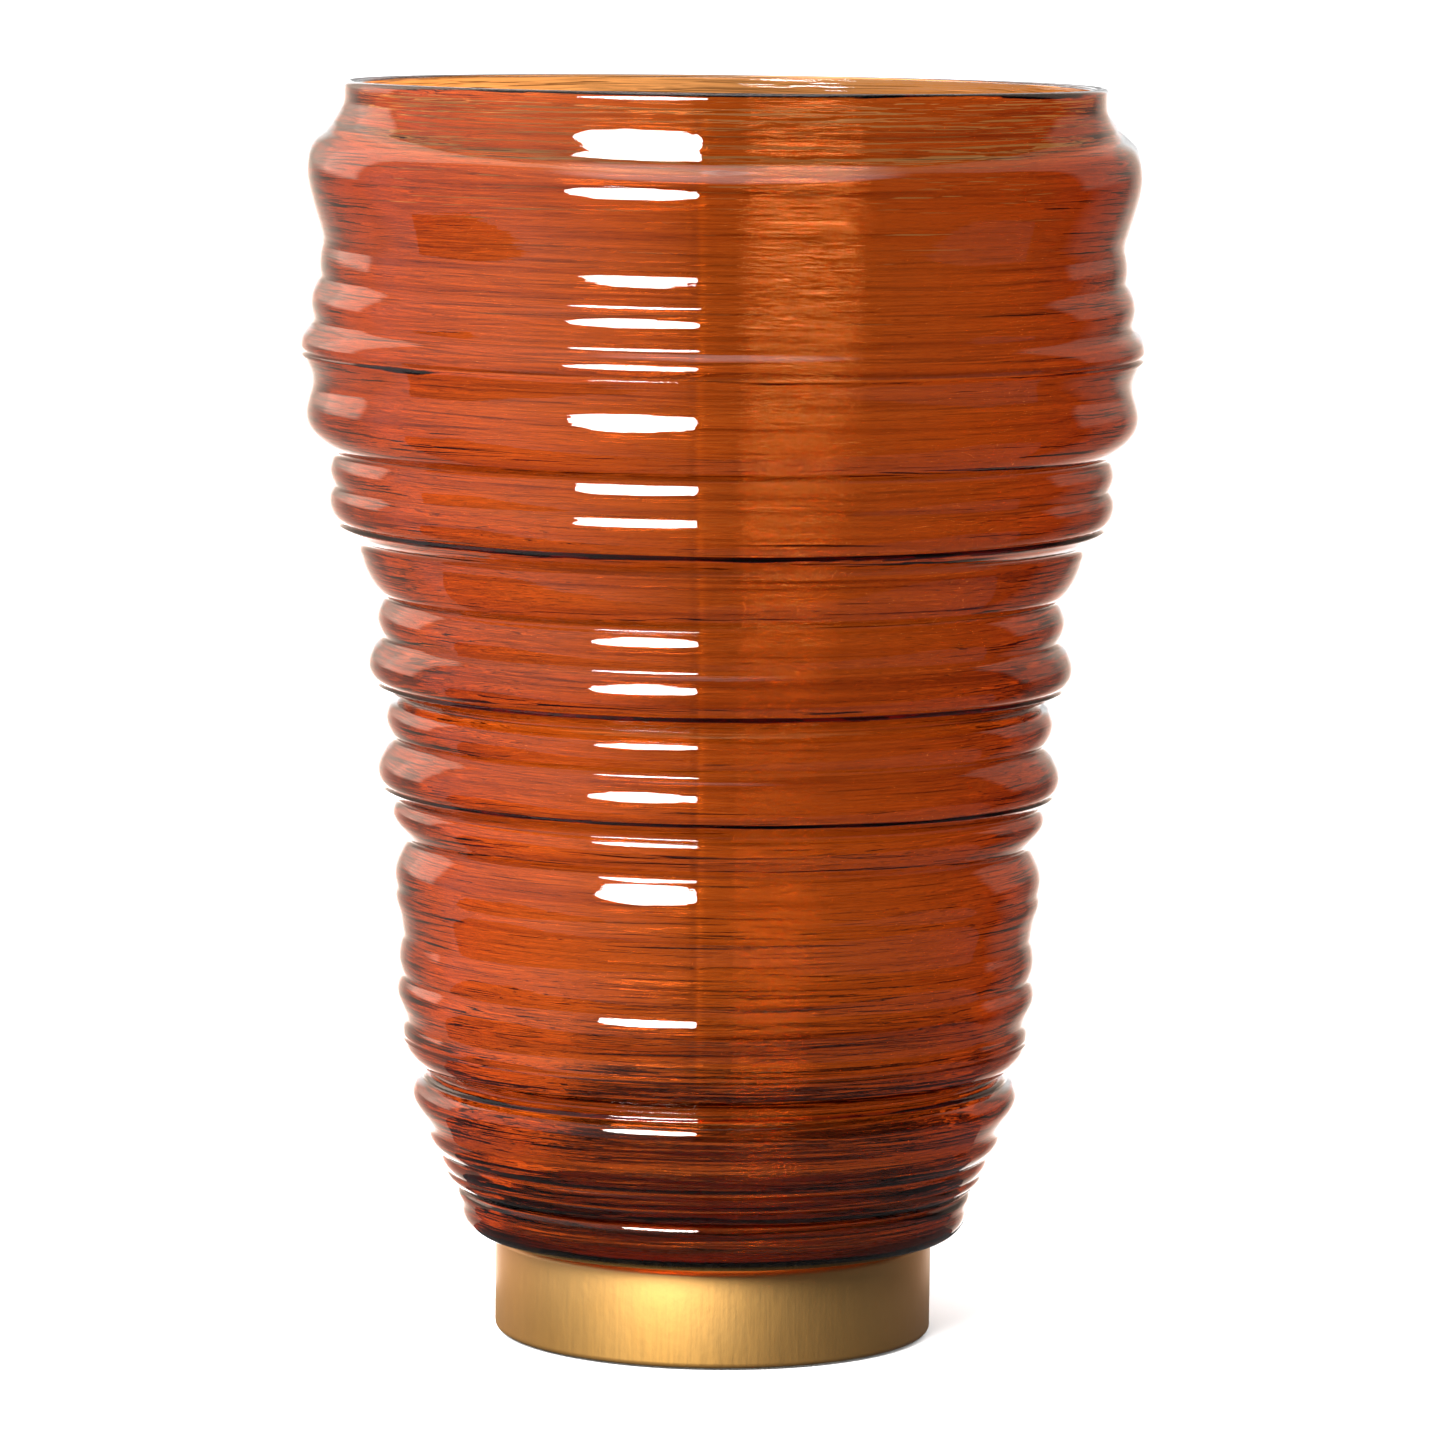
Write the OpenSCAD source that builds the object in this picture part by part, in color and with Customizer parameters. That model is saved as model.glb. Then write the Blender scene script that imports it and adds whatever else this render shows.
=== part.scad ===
// Ribbed amber glass vase on a low brass-finish foot.
// The vase stands on z = 0, centred on the Z axis. Every piece is a solid of
// revolution: the glass is a stack of soft lobes with grooves between them, some
// sharp and some faint, and the foot is a pressed metal cup turned upside down.

/* [Glass] */
// Height of the whole vase, from the table to the rim
vase_h = 300; // [280:1:330]
// Thickness of the glass wall
wall_t = 2.8; // [2.2:0.1:3.2]
// How far the lobes stand out, as a share of the standard relief
lobe_relief = 1; // [0.5:0.05:1.2]
// How much of that relief the inside of the wall follows
inner_follow = 0.95; // [0.5:0.05:1]
// Thickness of the glass floor
floor_t = 3; // [2.5:0.5:6]
// How far the floor rises in the middle, inside and underneath
kick_h = 1.5; // [0.5:0.25:3]

/* [Foot] */
// Diameter of the metal foot
foot_d = 105; // [103.5:0.5:108]
// Height of the foot's top face above the table
foot_top = 24; // [22:0.5:24.5]
// Thickness of the foot's sheet metal
sheet_t = 1; // [0.8:0.1:1.2]
// Outer radius of the bend round the foot's top edge
shoulder_r = 1.8; // [1.5:0.1:3]
// Outer radius of the bend round the foot's bottom edge
hem_bend_r = 1.4; // [1.3:0.1:2]
// Width of the hem that is turned in at the bottom
hem_w = 10; // [9:0.5:14]

/* [Bond and felt] */
// Thickness of the adhesive ring between foot and glass
bond_t = 0.5; // [0.3:0.1:1]
// Width of the adhesive ring
bond_w = 8; // [5:0.5:8]
// Thickness of the felt ring that the vase stands on
felt_t = 0.5; // [0.5:0.1:1.5]
// Width of the felt ring
felt_w = 6; // [4:0.5:6]

/* [Hidden] */

$fn = 128;

// The standard vase is 300 high. Its heel is a quarter bend under the first
// lobe, and its collar flares from the rim down to the last groove.
STANDARD_H = 300;
HEEL_R = 61.2;
HEEL_BEND_R = 6;
RIM_R = 90.8;
// How far the collar is drawn in between the rim and the last groove
COLLAR_WAIST = 0.4;
// The lobes from the heel up, each one [height of the groove above it, radius
// in that groove, relief, how far up the lobe its crest is, fullness]. Fullness
// 1 is a plain sine hump, less is a fuller lobe with sharper grooves, and more
// is a flatter one with softer grooves.
LOBES = [
    [35.5, 61.5, 0.5, 0.7, 1], [40, 64.7, 0.9, 0.6, 1], [44, 66, 0.5, 0.5, 1],
    [50, 69.1, 1, 0.5, 1.1], [64, 67.5, 4.8, 0.62, 0.85], [76, 74.8, 3.9, 0.38, 0.85],
    [87, 75.7, 1.4, 0.6, 1.1], [96.5, 75.7, 0.8, 0.45, 1.2], [108, 77.4, 0.5, 0.75, 1.2],
    [119.5, 74.8, 1.3, 0.45, 1.2], [129, 77, 2.1, 0.6, 0.9], [144, 78.1, 4.4, 0.45, 1],
    [154, 76.1, 3, 0.58, 0.6], [168.5, 81.3, 5.9, 0.42, 0.9], [178, 80.5, 1.6, 0.5, 1],
    [191, 86.8, 2.1, 0.36, 0.7], [204.5, 92.9, 3.4, 0.5, 0.85], [212, 92.8, 0.9, 0.5, 1.1],
    [228.5, 98.2, 4, 0.44, 1.1], [244, 98, 2.9, 0.62, 1.2], [254.5, 96.3, 1.3, 0.5, 1.2],
    [262.5, 95.8, 0.4, 0.45, 1.2], [290.5, 93.3, 5.3, 0.65, 0.7]
];
// Steps along each lobe, and round each quarter bend
LOBE_STEPS = 8;
BEND_STEPS = 5;
// Half the share of a lobe over which its slope is taken
SLOPE_SPAN = 0.02;
// Radius of the bend between the inside of the wall and the floor
FLOOR_BEND_R = 3.2;
// Outer radius of the rise in the floor
KICK_R = 41;
// Gap between the flat of the foot and the edge of the bond or the felt
EDGE_GAP = 0.8;

size_k = vase_h / STANDARD_H;
foot_r = foot_d / 2;
foot_flat_r = foot_r - shoulder_r;
glass_z = foot_top + bond_t;
heel_z = glass_z + HEEL_BEND_R;
rim_lip_r = wall_t / 2;
rim_z = vase_h - rim_lip_r;
rim_centre_r = RIM_R * size_k - rim_lip_r;
floor_z = glass_z + floor_t;
floor_bend_z = floor_z + FLOOR_BEND_R;
floor_bend_at = HEEL_R * size_k - wall_t - FLOOR_BEND_R;

// The grooves, from the top of the heel to the rim
GROOVES = concat(
    [[heel_z, HEEL_R * size_k, 0, 0.5, 1]],
    [for (l = LOBES) [l[0] * size_k, l[1] * size_k, l[2] * size_k * lobe_relief, l[3], l[4]]],
    [[rim_z, RIM_R * size_k, -COLLAR_WAIST * size_k, 0.5, 1]]
);
// Every lobe with every step up it, but not the rim's own point
LOBE_POINTS = [
    for (i = [1 : len(GROOVES) - 1]) for (k = [1 : LOBE_STEPS])
        if (i < len(GROOVES) - 1 || k < LOBE_STEPS) [i, k / LOBE_STEPS]
];

// Points round part of a circle in the (radius, height) plane
function arc(centre_r, centre_z, r, from, to, steps) =
    [for (k = [0 : steps])
        let (a = from + (to - from) * k / steps)
        [centre_r + r * cos(a), centre_z + r * sin(a)]];

// A hump from 0 to 1 and back, with its crest at share c of the way along
function hump(t, c, fullness) =
    pow(max(0, sin(180 * pow(t, ln(0.5) / ln(c)))), fullness);

// The point at share t of the way up lobe i, with this much of the lobe's relief
function on_lobe(i, t, follow) =
    let (low = GROOVES[i - 1], top = GROOVES[i])
    [
        low[1] + (top[1] - low[1]) * t + top[2] * follow * hump(t, top[3], top[4]),
        low[0] + (top[0] - low[0]) * t
    ];

// The width of the wall measured level, which is more than wall_t on a slope
function level_wall(i, t) =
    let (d = on_lobe(i, t + SLOPE_SPAN, 1) - on_lobe(i, t - SLOPE_SPAN, 1))
    wall_t * norm(d) / d[1];

// The inside of the wall at share t of the way up lobe i; a groove is rounded inside
function inside_lobe(i, t) =
    on_lobe(i, t, inner_follow) - [t < 1 ? level_wall(i, t) : wall_t, 0];

heel = arc(HEEL_R * size_k - HEEL_BEND_R, heel_z, HEEL_BEND_R, -90, 0, BEND_STEPS);
outer_wall = [for (q = LOBE_POINTS) on_lobe(q[0], q[1], 1)];
rim = arc(rim_centre_r, rim_z, rim_lip_r, 0, 180, 2 * BEND_STEPS);
inner_wall = [
    for (n = [len(LOBE_POINTS) - 1 : -1 : 0])
        let (p = inside_lobe(LOBE_POINTS[n][0], LOBE_POINTS[n][1]))
        if (p[1] > floor_bend_z) p
];
floor_bend = arc(floor_bend_at, floor_bend_z, FLOOR_BEND_R, 0, -90, BEND_STEPS);

// The rise in the middle of the floor, at share s of the way out to its edge
function kick(s, base_z) = [KICK_R * s, base_z + kick_h * (1 - s * s)];
floor_rise = [for (k = [BEND_STEPS : -1 : 0]) kick(k / BEND_STEPS, floor_z)];
under_rise = [for (k = [0 : BEND_STEPS]) kick(k / BEND_STEPS, glass_z)];

// The blown glass: outside, rim, inside, floor and the hollow underneath
module glass_body() {
    color([0.72, 0.36, 0.16, 0.55])
        rotate_extrude()
            polygon(concat(heel, outer_wall, rim, inner_wall, floor_bend, floor_rise, under_rise));
}

// Adhesive between the foot's flat top and the glass's standing ring
module bond_ring() {
    color([0.9, 0.88, 0.8])
        rotate_extrude()
            translate([foot_flat_r - EDGE_GAP - bond_w, foot_top])
                square([bond_w, bond_t]);
}

// Sheet-metal foot: closed on top, open below, with a turned-in hem
module foot_shell() {
    shoulder_z = foot_top - shoulder_r;
    hem_bend_z = felt_t + hem_bend_r;
    hem_bend_at = foot_r - hem_bend_r;
    hem_in_r = foot_r - hem_w;
    color([0.80, 0.64, 0.34])
        rotate_extrude()
            polygon(concat(
                [[0, foot_top]],
                arc(foot_flat_r, shoulder_z, shoulder_r, 90, 0, BEND_STEPS),
                arc(hem_bend_at, hem_bend_z, hem_bend_r, 0, -90, BEND_STEPS),
                [[hem_in_r, felt_t], [hem_in_r, felt_t + sheet_t]],
                arc(hem_bend_at, hem_bend_z, hem_bend_r - sheet_t, -90, 0, BEND_STEPS),
                arc(foot_flat_r, shoulder_z, shoulder_r - sheet_t, 0, 90, BEND_STEPS),
                [[0, foot_top - sheet_t]]
            ));
}

// Felt under the hem, so that the metal doesn't scratch the table
module felt_ring() {
    color([0.62, 0.57, 0.48])
        rotate_extrude()
            translate([foot_r - hem_bend_r - EDGE_GAP - felt_w, 0])
                square([felt_w, felt_t]);
}

glass_body();
bond_ring();
foot_shell();
felt_ring();
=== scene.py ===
"""Ribbed amber glass vase on a low brass-finish foot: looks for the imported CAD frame. Metres, +Z up."""
import math

import bpy
import numpy as np
from mathutils import Matrix, Vector


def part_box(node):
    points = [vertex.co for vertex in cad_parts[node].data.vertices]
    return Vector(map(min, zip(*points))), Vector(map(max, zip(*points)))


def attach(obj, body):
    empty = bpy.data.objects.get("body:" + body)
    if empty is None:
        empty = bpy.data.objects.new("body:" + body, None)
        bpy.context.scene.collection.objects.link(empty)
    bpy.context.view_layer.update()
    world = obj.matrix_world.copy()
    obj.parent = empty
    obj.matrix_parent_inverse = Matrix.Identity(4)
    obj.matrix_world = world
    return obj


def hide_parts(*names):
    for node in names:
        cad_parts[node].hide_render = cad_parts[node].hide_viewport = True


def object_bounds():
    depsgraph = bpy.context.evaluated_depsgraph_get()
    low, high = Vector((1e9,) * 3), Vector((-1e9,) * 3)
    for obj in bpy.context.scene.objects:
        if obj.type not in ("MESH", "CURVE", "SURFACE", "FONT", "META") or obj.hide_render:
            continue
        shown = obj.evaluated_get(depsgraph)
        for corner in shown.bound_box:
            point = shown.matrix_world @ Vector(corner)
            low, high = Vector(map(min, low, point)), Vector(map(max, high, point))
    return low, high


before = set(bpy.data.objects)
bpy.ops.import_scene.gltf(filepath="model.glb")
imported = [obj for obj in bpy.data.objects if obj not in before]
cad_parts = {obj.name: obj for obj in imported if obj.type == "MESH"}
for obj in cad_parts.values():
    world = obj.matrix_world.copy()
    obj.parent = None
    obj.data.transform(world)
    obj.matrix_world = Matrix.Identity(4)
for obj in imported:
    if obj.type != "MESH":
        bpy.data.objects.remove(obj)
CAD_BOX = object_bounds()
TOP = CAD_BOX[1].z
MM = 0.001
# A point of an outline this close to the axis is on it
POLE_R = MM / 10
# Two rings of a CAD mesh that are closer than this are one ring, split by rounding
SAME_RING = 0.02 * MM


# ---------------------------------------------------------------- outlines

def cad_outline(node):
    """The outline that a round CAD node was turned from: (radius, height) points in order."""
    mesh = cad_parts[node].data
    ring_of = [(round(math.hypot(v.co.x, v.co.y), 6), round(v.co.z, 6)) for v in mesh.vertices]
    next_to = {}
    for edge in mesh.edges:
        a, b = (ring_of[i] for i in edge.vertices)
        if a != b:
            next_to.setdefault(a, set()).add(b)
            next_to.setdefault(b, set()).add(a)
    ends = sorted((ring for ring in next_to if ring[0] < POLE_R), key=lambda ring: ring[1])
    path = [ends[0] if ends else min(next_to, key=lambda ring: (ring[1], ring[0]))]
    # Walked to one end and then, turned round, to the other
    for _ in range(2):
        while True:
            onward = [ring for ring in next_to[path[-1]] if ring not in path]
            if not onward:
                break
            path.append(min(onward, key=lambda ring: math.dist(ring, path[-1])))
        path.reverse()
    later = [ring for last, ring in zip(path, path[1:]) if math.dist(last, ring) > SAME_RING]
    return path[:1] + later


def rounded(points, steps):
    """A smooth curve through every point, with this many steps from each point to the next."""
    p = np.array(points)
    before = np.vstack([2 * p[0] - p[1], p[:-1]])
    after = np.vstack([p[1:], 2 * p[-1] - p[-2]])
    gap_in = np.linalg.norm(p - before, axis=1)[:, None]
    gap_out = np.linalg.norm(after - p, axis=1)[:, None]
    tangent = ((after - p) / gap_out * gap_in + (p - before) / gap_in * gap_out) / (gap_in + gap_out)
    curve = []
    for i in range(len(p) - 1):
        reach = gap_out[i]
        for k in range(steps):
            t = k / steps
            curve.append(
                (2 * t**3 - 3 * t**2 + 1) * p[i]
                + (t**3 - 2 * t**2 + t) * reach * tangent[i]
                + (3 * t**2 - 2 * t**3) * p[i + 1]
                + (t**3 - t**2) * reach * tangent[i + 1]
            )
    curve.append(p[-1])
    return np.array(curve)


def arc(centre_r, centre_z, radius, start, stop, steps):
    """Points round part of a circle in the (radius, height) plane, angles in degrees."""
    angles = np.radians(np.linspace(start, stop, steps + 1))
    return np.stack([centre_r + radius * np.cos(angles), centre_z + radius * np.sin(angles)], 1)


# ------------------------------------------------------------------ meshes

def lathe(name, outline, columns, shift=None, closed=False):
    """Turns an outline round Z into a mesh object.

    columns are azimuths in radians. shift moves the points, given their azimuth, radius and
    height. A closed outline is joined back to its start.
    """
    outline = np.asarray(outline, float)
    columns = np.asarray(columns, float)
    radius = np.repeat(outline[:, :1], len(columns), 1)
    height = np.repeat(outline[:, 1:], len(columns), 1)
    if shift is not None:
        radius, height = shift(columns[None, :], radius, height)
    points = np.stack([radius * np.cos(columns), radius * np.sin(columns), height], 2)
    rings, n = radius.shape
    verts, faces, start = [], [], []
    poles = [bool(outline[i, 0] < POLE_R) for i in range(rings)]
    for i in range(rings):
        start.append(len(verts))
        verts.extend([(0.0, 0.0, float(height[i, 0]))] if poles[i] else points[i].tolist())
    last = rings if closed else rings - 1
    for i in range(last):
        j = (i + 1) % rings
        for k in range(n):
            m = (k + 1) % n
            quad = [start[i] + (0 if poles[i] else k), start[i] + (0 if poles[i] else m),
                    start[j] + (0 if poles[j] else m), start[j] + (0 if poles[j] else k)]
            faces.append(tuple(dict.fromkeys(quad)))
    mesh = bpy.data.meshes.new(name)
    mesh.from_pydata(verts, [], faces)
    mesh.validate()
    mesh.polygons.foreach_set("use_smooth", [True] * len(mesh.polygons))
    mesh.update()
    piece = bpy.data.objects.new(name, mesh)
    bpy.context.scene.collection.objects.link(piece)
    return piece


def even_columns(count):
    """This many azimuths, evenly round the axis."""
    return np.arange(count) * 2 * math.pi / count


# --------------------------------------------------------------- materials

# How much each finer octave adds to a noise
NOISE_ROUGHNESS = 0.55
# How deep the fine lines and the slow swells of the glass are, and the waves of its inside
FLOW_DEPTH = 0.00006
SWELL_DEPTH = 0.00012
INSIDE_DEPTH = 0.0005
# How deep the brushing and the pits of the brass are
BRUSH_DEPTH = 0.00002
PIT_DEPTH = 0.00004
FELT_DEPTH = 0.0003
SMEAR_DEPTH = 0.0002


def new_material(name):
    """A new material with its nodes, its links and its Principled shader."""
    mat = bpy.data.materials.new(name)
    mat.use_nodes = True
    nodes = mat.node_tree.nodes
    return mat, nodes, mat.node_tree.links, nodes["Principled BSDF"]


def stretched_noise(nodes, links, scale_xyz, detail=4.0, distortion=0.0):
    """Noise in the object's own metres, stretched by a scale for each axis."""
    coords = nodes.new("ShaderNodeTexCoord")
    mapping = nodes.new("ShaderNodeMapping")
    mapping.inputs["Scale"].default_value = scale_xyz
    noise = nodes.new("ShaderNodeTexNoise")
    noise.inputs["Scale"].default_value = 1.0
    noise.inputs["Detail"].default_value = detail
    noise.inputs["Roughness"].default_value = NOISE_ROUGHNESS
    noise.inputs["Distortion"].default_value = distortion
    links.new(coords.outputs["Object"], mapping.inputs["Vector"])
    links.new(mapping.outputs["Vector"], noise.inputs["Vector"])
    return noise.outputs["Fac"]


def bump(nodes, links, height, distance, onto=None):
    """A normal bumped by a height of 0 to 1 times a distance, on top of another normal."""
    node = nodes.new("ShaderNodeBump")
    node.inputs["Distance"].default_value = distance
    node.inputs["Strength"].default_value = 1.0
    links.new(height, node.inputs["Height"])
    if onto is not None:
        links.new(onto, node.inputs["Normal"])
    return node.outputs["Normal"]


def ramp(nodes, links, factor, stops):
    """A colour ramp from (position, colour) stops."""
    node = nodes.new("ShaderNodeValToRGB")
    while len(node.color_ramp.elements) < len(stops):
        node.color_ramp.elements.new(0.5)
    for element, (position, colour) in zip(node.color_ramp.elements, stops):
        element.position = position
        element.color = (*colour, 1.0)
    links.new(factor, node.inputs["Fac"])
    return node.outputs["Color"]


def remap(nodes, links, value, low, high):
    """Stretches a value of 0 to 1 over low to high."""
    node = nodes.new("ShaderNodeMapRange")
    node.inputs["To Min"].default_value = low
    node.inputs["To Max"].default_value = high
    links.new(value, node.inputs["Value"])
    return node.outputs["Result"]


def amber_glass():
    mat, nodes, links, shader = new_material("amber_glass")
    shader.inputs["Roughness"].default_value = 0.0
    shader.inputs["IOR"].default_value = 1.5
    shader.inputs["Transmission Weight"].default_value = 1.0
    streak = stretched_noise(nodes, links, (7.0, 7.0, 520.0), detail=5.0, distortion=0.5)
    tint = ramp(nodes, links, streak, [
        (0.32, (0.66, 0.54, 0.44)), (0.44, (0.93, 0.88, 0.83)), (0.58, (1.0, 0.98, 0.96)),
    ])
    links.new(tint, shader.inputs["Base Color"])
    flow = stretched_noise(nodes, links, (9.0, 9.0, 420.0), detail=3.0, distortion=0.3)
    soft = stretched_noise(nodes, links, (22.0, 22.0, 120.0), detail=2.0)
    normal = bump(nodes, links, flow, FLOW_DEPTH)
    normal = bump(nodes, links, soft, SWELL_DEPTH, onto=normal)
    # The inside of the wall is wavier than the outside, which the mould smoothed
    inside = nodes.new("ShaderNodeAttribute")
    inside.attribute_name = "inside"
    for scale in ((16.0, 16.0, 230.0), (26.0, 26.0, 800.0)):
        wave = nodes.new("ShaderNodeMath")
        wave.operation = "MULTIPLY"
        noise = stretched_noise(nodes, links, scale, detail=2.0, distortion=0.4)
        links.new(noise, wave.inputs[0])
        links.new(inside.outputs["Fac"], wave.inputs[1])
        normal = bump(nodes, links, wave.outputs["Value"], INSIDE_DEPTH, onto=normal)
    links.new(normal, shader.inputs["Normal"])
    volume = nodes.new("ShaderNodeVolumeAbsorption")
    volume.inputs["Color"].default_value = (0.83, 0.525, 0.1, 1.0)
    volume.inputs["Density"].default_value = 1000.0
    links.new(volume.outputs["Volume"], nodes["Material Output"].inputs["Volume"])
    return mat


def satin_brass():
    mat, nodes, links, shader = new_material("satin_brass")
    shader.inputs["Metallic"].default_value = 1.0
    shader.inputs["Coat Weight"].default_value = 1.0
    shader.inputs["Coat IOR"].default_value = 1.8
    shader.inputs["Anisotropic"].default_value = 0.28
    shader.inputs["Anisotropic Rotation"].default_value = 0.25
    turned = nodes.new("ShaderNodeTangent")
    turned.direction_type = "RADIAL"
    turned.axis = "Z"
    links.new(turned.outputs["Tangent"], shader.inputs["Tangent"])
    shader.inputs["Coat Roughness"].default_value = 0.4
    cloud = stretched_noise(nodes, links, (45.0, 45.0, 45.0), detail=5.0)
    colour = ramp(nodes, links, cloud, [(0.3, (0.80, 0.43, 0.09)), (0.7, (0.86, 0.48, 0.12))])
    links.new(colour, shader.inputs["Base Color"])
    brush = stretched_noise(nodes, links, (1500.0, 1500.0, 90.0), detail=4.0)
    links.new(remap(nodes, links, brush, 0.44, 0.6), shader.inputs["Roughness"])
    pit = stretched_noise(nodes, links, (700.0, 700.0, 500.0), detail=3.0)
    normal = bump(nodes, links, brush, BRUSH_DEPTH)
    normal = bump(nodes, links, pit, PIT_DEPTH, onto=normal)
    links.new(normal, shader.inputs["Normal"])
    return mat


def pale_felt():
    mat, nodes, links, shader = new_material("pale_felt")
    shader.inputs["Roughness"].default_value = 0.95
    shader.inputs["Sheen Weight"].default_value = 0.4
    shader.inputs["Sheen Roughness"].default_value = 0.6
    fibre = stretched_noise(nodes, links, (2600.0, 2600.0, 1500.0), detail=6.0, distortion=1.5)
    colour = ramp(nodes, links, fibre, [(0.3, (0.50, 0.46, 0.38)), (0.75, (0.72, 0.67, 0.57))])
    links.new(colour, shader.inputs["Base Color"])
    links.new(bump(nodes, links, fibre, FELT_DEPTH), shader.inputs["Normal"])
    return mat


def clear_adhesive():
    mat, nodes, links, shader = new_material("clear_adhesive")
    shader.inputs["IOR"].default_value = 1.48
    shader.inputs["Transmission Weight"].default_value = 0.7
    smear = stretched_noise(nodes, links, (160.0, 160.0, 160.0), detail=4.0)
    colour = ramp(nodes, links, smear, [(0.3, (0.80, 0.76, 0.66)), (0.7, (0.92, 0.90, 0.84))])
    links.new(colour, shader.inputs["Base Color"])
    links.new(remap(nodes, links, smear, 0.18, 0.4), shader.inputs["Roughness"])
    links.new(bump(nodes, links, smear, SMEAR_DEPTH), shader.inputs["Normal"])
    return mat


# ------------------------------------------------------------------ pieces

# The two mould seams: the front one is a little to the left of the camera's line
SEAM_AZIMUTHS = [math.radians(-93.4), math.radians(86.6)]
SEAM_HEIGHT = 0.035 * MM
SEAM_HALF_WIDTH = 0.9 * MM
# The seams end this high, under the fire-polished rim
SEAM_TOP = TOP - 3 * MM
# Extra columns across a seam, how far they reach to each side, and how far the even ones
# keep away, in degrees
SEAM_COLUMNS = 9
SEAM_REACH = 1.8
SEAM_CLEAR = 2.4
# The floor of the glass is inside this radius, and its heel is inside and below the others
FLOOR_R = 50 * MM
HEEL_R = 56 * MM
HEEL_Z = 26.5 * MM
# How far the groove under the collar dips in front, in mm; it rises by less at the back
SHOULDER_DIP = 6.5
# How far the collar is drawn in between that groove and the rim, in mm
COLLAR_WAIST = 0.5
# Where the waves of the wall, the dip and the waist begin, and over how much of the
# height they grow, as shares of it; nothing is lifted at the rim
WAVE_SPAN = (0.1, 0.15)
DIP_SPAN = (0.75, 0.218)
WAIST_SPAN = (0.968, 0.028)
RIM_SPAN = 0.032
# The sharp creases round the outside, each one (height, depth) in mm
CREASES = ((62.3, 0.35), (72.2, 0.35), (132.6, 0.35), (157.6, 0.35), (195.7, 0.5), (236.7, 0.5))
CREASE_HALF_WIDTH = 0.45 * MM
# The outline's own points keep this far from a crease
CREASE_CLEAR = 1.5 * CREASE_HALF_WIDTH
GLASS_COLUMNS = 92
GLASS_STEPS = 2
# Points of the outline from the top of the rim to the inside of the wall
LIP_STEPS = 6
FOOT_COLUMNS = 192
# Steps round a quarter bend of the felt or the adhesive, and the radius of the felt's edges
BEND_STEPS = 4
FELT_EDGE_R = 0.25 * MM


def seam_distance(azimuth, radius):
    """Distance round the glass from the nearer mould seam."""
    apart = [np.abs((azimuth - seam + math.pi) % (2 * math.pi) - math.pi) for seam in SEAM_AZIMUTHS]
    return np.minimum(*apart) * radius


def grown(share, begin, length):
    """0 below a share of the height, then growing to 1 over this much of it."""
    return np.clip((share - begin) / length, 0, 1)


def blown(azimuth, radius, height):
    """The unevenness of blown glass, as new radii and heights.

    Slow waves go round the wall, the grooves aren't quite level, the one under the collar
    dips in front, and the collar has a slight waist.
    """
    share = height / TOP
    fade = grown(share, *WAVE_SPAN)
    wave = 0.25 * np.sin(2 * azimuth + 1.2 * share + 0.6) + 0.16 * np.sin(3 * azimuth - 9.0 * share)
    ripple = 0.05 * np.sin(7 * azimuth + 23.0 * share) + 0.04 * np.sin(11 * azimuth - 31.0 * share)
    lift = 0.30 * np.sin(azimuth + 11.0 * share) + 0.16 * np.sin(2 * azimuth - 17.0 * share)
    rim_fade = np.clip((1 - share) / RIM_SPAN, 0, 1)
    back = np.sin(azimuth)
    waist = COLLAR_WAIST * np.sin(math.pi * grown(share, *WAIST_SPAN)) ** 2
    dip = SHOULDER_DIP * grown(share, *DIP_SPAN) * (0.7 * back - 0.3 * back**2)
    wide = radius + ((wave + ripple) * fade - waist) * MM * (radius > FLOOR_R)
    return wide, height + (lift * fade + dip) * MM * rim_fade


def creased(outline, rim):
    """The outline with the creases cut into its outside, and where the rim then is in it."""
    outside = [tuple(point) for point in outline[:rim]]
    for height, depth in CREASES:
        z = height * MM
        wall = [p for p in outside if p[0] > FLOOR_R]
        radius = np.interp(z, [p[1] for p in wall], [p[0] for p in wall])
        outside = [p for p in outside if abs(p[1] - z) > CREASE_CLEAR or p[0] < FLOOR_R]
        outside += [
            (radius, z - CREASE_HALF_WIDTH), (radius - depth * MM, z), (radius, z + CREASE_HALF_WIDTH),
        ]
        under = [p for p in outside if p[0] < HEEL_R and p[1] < HEEL_Z]
        outside = under + sorted((p for p in outside if p not in under), key=lambda p: p[1])
    return np.array(outside + [tuple(point) for point in outline[rim:]]), len(outside)


def make_glass():
    cad = cad_outline("glass_body")
    rim = max(range(len(cad)), key=lambda i: cad[i][1])
    outline = rounded(cad, GLASS_STEPS)
    # The smooth curve must not dip below the ring that the glass stands on
    outline[:, 1] = np.maximum(outline[:, 1], min(z for r, z in cad))
    rim *= GLASS_STEPS
    outline, rim = creased(outline, rim)
    is_outside = (np.arange(len(outline)) <= rim)[:, None]

    def shift(azimuth, radius, height):
        seam = SEAM_HEIGHT * np.exp(-((seam_distance(azimuth, radius) / SEAM_HALF_WIDTH) ** 2))
        wide, lifted = blown(azimuth, radius, height)
        return wide + seam * is_outside * (radius > HEEL_R) * (height < SEAM_TOP), lifted

    near = np.radians(np.linspace(-SEAM_REACH, SEAM_REACH, SEAM_COLUMNS))
    columns = [*even_columns(GLASS_COLUMNS)]
    for seam in SEAM_AZIMUTHS:
        turn = (np.array(columns) - seam + math.pi) % (2 * math.pi) - math.pi
        columns = [c for c, t in zip(columns, turn) if abs(t) > math.radians(SEAM_CLEAR)]
        columns += list((seam + near) % (2 * math.pi))
    glass = lathe("glass_vessel", outline, sorted(columns), shift)
    inside = glass.data.attributes.new("inside", "FLOAT", "POINT")
    per_ring = [1 if r < POLE_R else len(columns) for r, z in outline]
    is_inside = np.arange(len(outline)) > rim + LIP_STEPS
    inside.data.foreach_set("value", np.repeat(is_inside, per_ring).astype(float))
    glass.data.materials.append(amber_glass())
    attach(glass, "root")
    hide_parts("glass_body")


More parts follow.
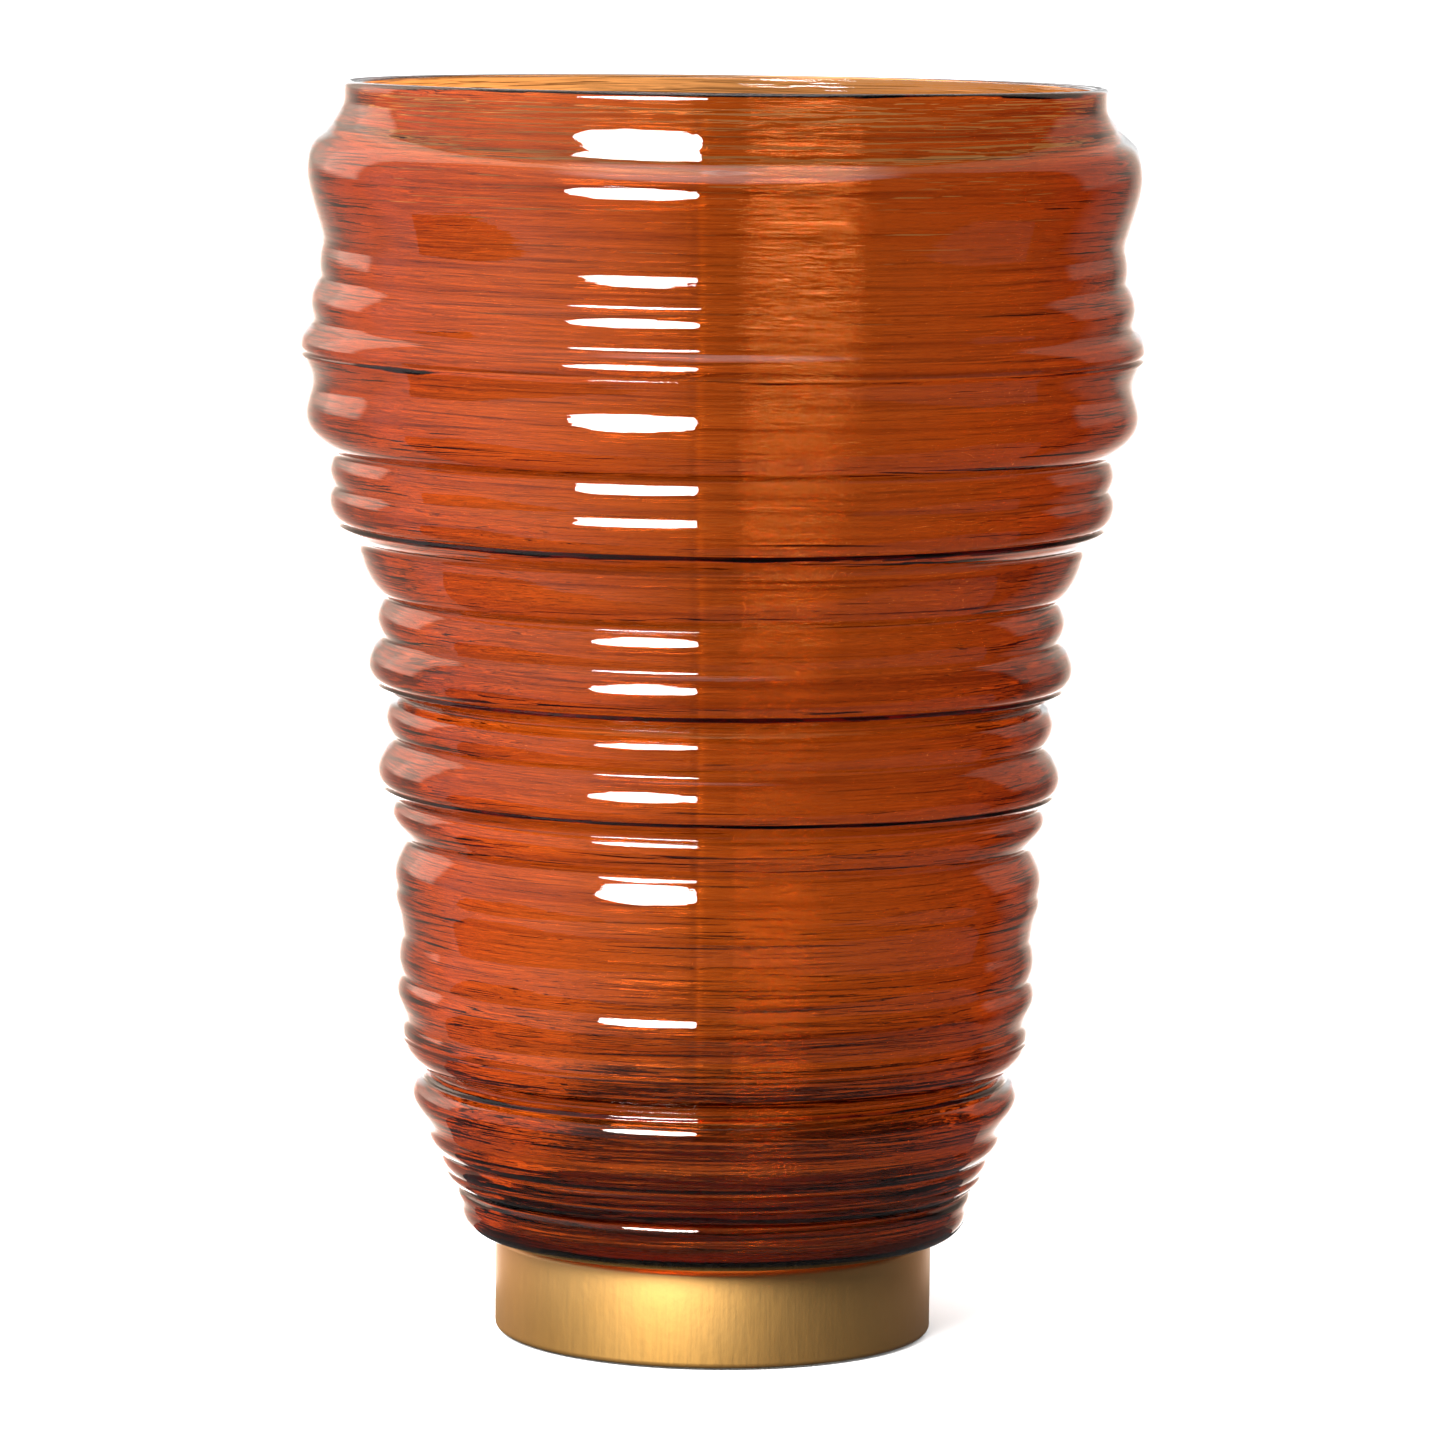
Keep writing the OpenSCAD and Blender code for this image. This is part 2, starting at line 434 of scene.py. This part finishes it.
def make_foot():
    skin = cad_outline("foot_shell")[::-1]
    outline = [(0, skin[0][1]), *skin, (0, skin[-1][1])]
    foot = lathe("brass_foot", outline, even_columns(FOOT_COLUMNS))
    foot.data.materials.append(satin_brass())
    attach(foot, "root")
    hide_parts("foot_shell")


def make_felt():
    lo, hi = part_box("felt_ring")
    inner = min(r for r, z in cad_outline("felt_ring"))
    soft = FELT_EDGE_R
    outline = np.vstack([
        arc(hi.x - soft, lo.z + soft, soft, -90, 0, BEND_STEPS),
        [[hi.x, hi.z]], [[inner, hi.z]],
        arc(inner + soft, lo.z + soft, soft, 180, 270, BEND_STEPS),
    ])
    felt = lathe("felt_pad", outline, even_columns(FOOT_COLUMNS), closed=True)
    felt.data.materials.append(pale_felt())
    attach(felt, "root")
    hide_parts("felt_ring")


def make_bond():
    lo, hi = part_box("bond_ring")
    inner = min(r for r, z in cad_outline("bond_ring"))
    half = (hi.z - lo.z) / 2
    outline = np.vstack([
        arc(hi.x - half, lo.z + half, half, -90, 90, 2 * BEND_STEPS),
        arc(inner + half, lo.z + half, half, 90, 270, 2 * BEND_STEPS),
    ])
    bond = lathe("adhesive_bead", outline, even_columns(FOOT_COLUMNS), closed=True)
    bond.data.materials.append(clear_adhesive())
    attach(bond, "root")
    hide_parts("bond_ring")


# ------------------------------------------------------------------- stage

# The pale floor: how far it reaches to each side, and twice as far behind
FLOOR_REACH = 3.0
FLOOR_ALBEDO = 0.93
FLOOR_ROUGHNESS = 0.9
# The tables of painted shade: dark sheets under the floor that only the glass and the metal see, standing
# in for shade on the floor; the narrow back one is a painted shadow of the vase behind it. Their parts:
# left, right, front and back edges, and albedo
SHADE_TABLES = [("table_front", -0.8, 0.8, -0.25, 0.05, 0.09), ("table_back", -0.045, 0.08, 0.05, 0.30, 0.02)]
# How far the table lies under the floor
TABLE_DROP = 0.0002


def make_plane(name, left, right, front, back, albedo):
    """A flat stage piece at z = 0 with these edges."""
    corners = [(left, front, 0), (right, front, 0), (right, back, 0), (left, back, 0)]
    mesh = bpy.data.meshes.new(name)
    mesh.from_pydata(corners, [], [(0, 1, 2, 3)])
    plane = bpy.data.objects.new(name, mesh)
    bpy.context.scene.collection.objects.link(plane)
    mat, nodes, links, shader = new_material(name)
    shader.inputs["Base Color"].default_value = (albedo, albedo, albedo, 1.0)
    shader.inputs["Roughness"].default_value = FLOOR_ROUGHNESS
    shader.inputs["Specular IOR Level"].default_value = 0.1
    mesh.materials.append(mat)
    return plane


def make_floor():
    """A pale floor for the camera, and darker tables of painted shade that only the glass and the metal
    show.
    """
    size = FLOOR_REACH
    floor = make_plane("pale_floor", -size, size, -size, 2 * size, FLOOR_ALBEDO)
    floor.visible_glossy = False
    floor.visible_transmission = False
    floor.visible_diffuse = False
    for name, *edges_and_albedo in SHADE_TABLES:
        # Painted shade: dark sheets hidden from the camera, seen only in the glass and the metal
        table = make_plane(name, *edges_and_albedo)
        table.visible_camera = False
        table.location.z = -TABLE_DROP


def make_light(name, place, aim, size, power):
    """A soft white light at a place, aimed at a point, that the camera doesn't see."""
    light = bpy.data.lights.new(name, "AREA")
    light.shape = "ELLIPSE"
    light.size, light.size_y = size
    light.energy = power
    lamp = bpy.data.objects.new(name, light)
    bpy.context.scene.collection.objects.link(lamp)
    lamp.location = place
    direction = np.array(place) - np.array(aim)
    lamp.rotation_mode = "QUATERNION"
    lamp.rotation_quaternion = Vector(direction).to_track_quat("Z", "Y")
    lamp.visible_camera = False


# The room's brightness by azimuth, in degrees from straight in front: left is negative,
# and the backdrop is behind. LOW is at and below eye level and HIGH is above it.
ROOM_LOW = [
    (-180, 1.0), (-178.4, 1.95), (-175, 3.0), (-171, 4.0), (-165, 3.2), (-157, 1.6), (-150, 1.0),
    (-140, 0.6), (-118, 0.6), (-62, 0.75), (-30, 0.3), (-5, 0.04), (117, 0.04), (126, 0.25),
    (144, 0.35), (157, 1.4), (165, 2.6), (172, 1.6), (178, 1.0),
]
ROOM_HIGH = [
    (-180, 0.5), (-176, 0.7), (-171, 2.8), (-165, 2.2), (-157, 1.2), (-142, 2.0), (-139, 2.6),
    (-120, 2.8), (-117, 0.75), (-62, 0.75), (-30, 0.3), (-5, 0.04), (113, 0.04), (117, 0.6),
    (144, 0.6), (157, 1.2), (165, 1.8), (174, 0.7), (180, 0.5),
]
# The warm walls to the left and right of the backdrop, and the backdrop's own white
WARM = (1.0, 0.76, 0.62)
WHITE = (1.0, 1.0, 1.0)
ROOM_TINT = [
    (-166, WHITE), (-158, WARM), (-118, WARM), (-108, WHITE),
    (108, WHITE), (116, WARM), (158, WARM), (166, WHITE),
]
# Between which upward shares of a direction LOW turns into HIGH
EYE_LEVEL = (0.0, 0.08)
# The ceiling's brightness, which is added, and between which upward shares it starts
CEILING = 2.4
CEILING_EDGE = (0.90, 0.97)
# The brightest that the room gets; a ramp holds 0 to 1, so it is given shares of this
ROOM_TOP = 4.0
# The even room that the camera and matt surfaces see
CAMERA_WHITE = 1.8
# How much brighter the room in front is through the glass, which shows from behind, and
# between which shares of a direction away from the camera that ends
FRONT_GLOW = 1.3
FRONT_EDGE = (-0.3, 0.15)


def make_world():
    """The studio room round the vase."""
    world = bpy.data.worlds.new("studio")
    bpy.context.scene.world = world
    world.use_nodes = True
    nodes, links = world.node_tree.nodes, world.node_tree.links
    background = nodes["Background"]
    coords = nodes.new("ShaderNodeTexCoord")
    axes = nodes.new("ShaderNodeSeparateXYZ")
    links.new(coords.outputs["Generated"], axes.inputs["Vector"])

    def math_node(operation, a, b):
        node = nodes.new("ShaderNodeMath")
        node.operation = operation
        for socket, value in zip(node.inputs, (a, b)):
            if isinstance(value, (int, float)):
                socket.default_value = value
            else:
                links.new(value, socket)
        return node.outputs["Value"]

    to_front = math_node("MULTIPLY", axes.outputs["Y"], -1.0)
    azimuth = math_node("ARCTAN2", axes.outputs["X"], to_front)
    turn = nodes.new("ShaderNodeMapRange")
    turn.inputs["From Min"].default_value = -math.pi
    turn.inputs["From Max"].default_value = math.pi
    links.new(azimuth, turn.inputs["Value"])

    def round_the_room(stops):
        """A ramp by azimuth, from (degrees, colour) stops."""
        shares = [((degrees + 180) / 360, colour) for degrees, colour in stops]
        return ramp(nodes, links, turn.outputs["Result"], shares)

    def brightness(stops):
        """The room's brightness by azimuth, from (degrees, brightness) stops."""
        greys = round_the_room([(degrees, (value / ROOM_TOP,) * 3) for degrees, value in stops])
        return math_node("MULTIPLY", greys, ROOM_TOP)

    def step_along(axis, edge):
        """0 where a direction's share along an axis is below the edge, 1 where it is above it."""
        step = nodes.new("ShaderNodeMapRange")
        step.interpolation_type = "SMOOTHSTEP"
        step.inputs["From Min"].default_value, step.inputs["From Max"].default_value = edge
        links.new(axes.outputs[axis], step.inputs["Value"])
        return step.outputs["Result"]

    low, high = brightness(ROOM_LOW), brightness(ROOM_HIGH)
    path = nodes.new("ShaderNodeLightPath")
    upper = math_node("MULTIPLY", math_node("SUBTRACT", high, low), step_along("Z", EYE_LEVEL))
    walls = math_node("ADD", low, upper)
    room = math_node("ADD", walls, math_node("MULTIPLY", step_along("Z", CEILING_EDGE), CEILING))
    in_front = math_node("SUBTRACT", 1.0, step_along("Y", FRONT_EDGE))
    glow = math_node("MULTIPLY", in_front, FRONT_GLOW)
    through_glass = math_node("MULTIPLY", path.outputs["Is Transmission Ray"], glow)
    room = math_node("ADD", room, through_glass)
    plain = math_node("MAXIMUM", path.outputs["Is Camera Ray"], path.outputs["Is Diffuse Ray"])
    direct = nodes.new("ShaderNodeMix")
    direct.data_type = "FLOAT"
    direct.inputs[3].default_value = CAMERA_WHITE
    links.new(plain, direct.inputs[0])
    links.new(room, direct.inputs[2])
    links.new(direct.outputs[0], background.inputs["Strength"])
    tint = nodes.new("ShaderNodeMix")
    tint.data_type = "RGBA"
    tint.inputs[7].default_value = (*WHITE, 1.0)
    links.new(plain, tint.inputs[0])
    links.new(round_the_room(ROOM_TINT), tint.inputs[6])
    links.new(tint.outputs[2], background.inputs["Color"])


# The camera looks a little down at the vase from in front; lens and sensor in mm, angles in degrees
CAMERA_PLACE = (0.00085, -1.68375, 0.3407)
CAMERA_PITCH = 6.55
CAMERA_ROLL = 0.66
CAMERA_LENS = 176.1
CAMERA_SENSOR = 36.0


def make_camera():
    camera = bpy.data.cameras.new("camera")
    camera.lens = CAMERA_LENS
    camera.sensor_width = CAMERA_SENSOR
    camera.clip_end = 50.0
    rig = bpy.data.objects.new("camera", camera)
    bpy.context.scene.collection.objects.link(rig)
    bpy.context.scene.camera = rig
    pitch, roll = math.radians(90 - CAMERA_PITCH), math.radians(CAMERA_ROLL)
    turn = Matrix.Rotation(pitch, 4, "X") @ Matrix.Rotation(roll, 4, "Z")
    rig.matrix_world = Matrix.Translation(CAMERA_PLACE) @ turn


make_camera()
make_glass()
make_bond()
make_foot()
make_felt()
make_floor()
make_world()
make_light("softbox", place=(-0.55, -1.15, 0.95), aim=(0, 0, 0.15), size=(0.9, 0.75), power=66.0)

scene = bpy.context.scene
scene.view_settings.view_transform = "Standard"
# A ray crosses many faces of ribbed glass, so it is followed further than usual
scene.cycles.max_bounces = 24
scene.cycles.transmission_bounces = 20
scene.cycles.glossy_bounces = 8
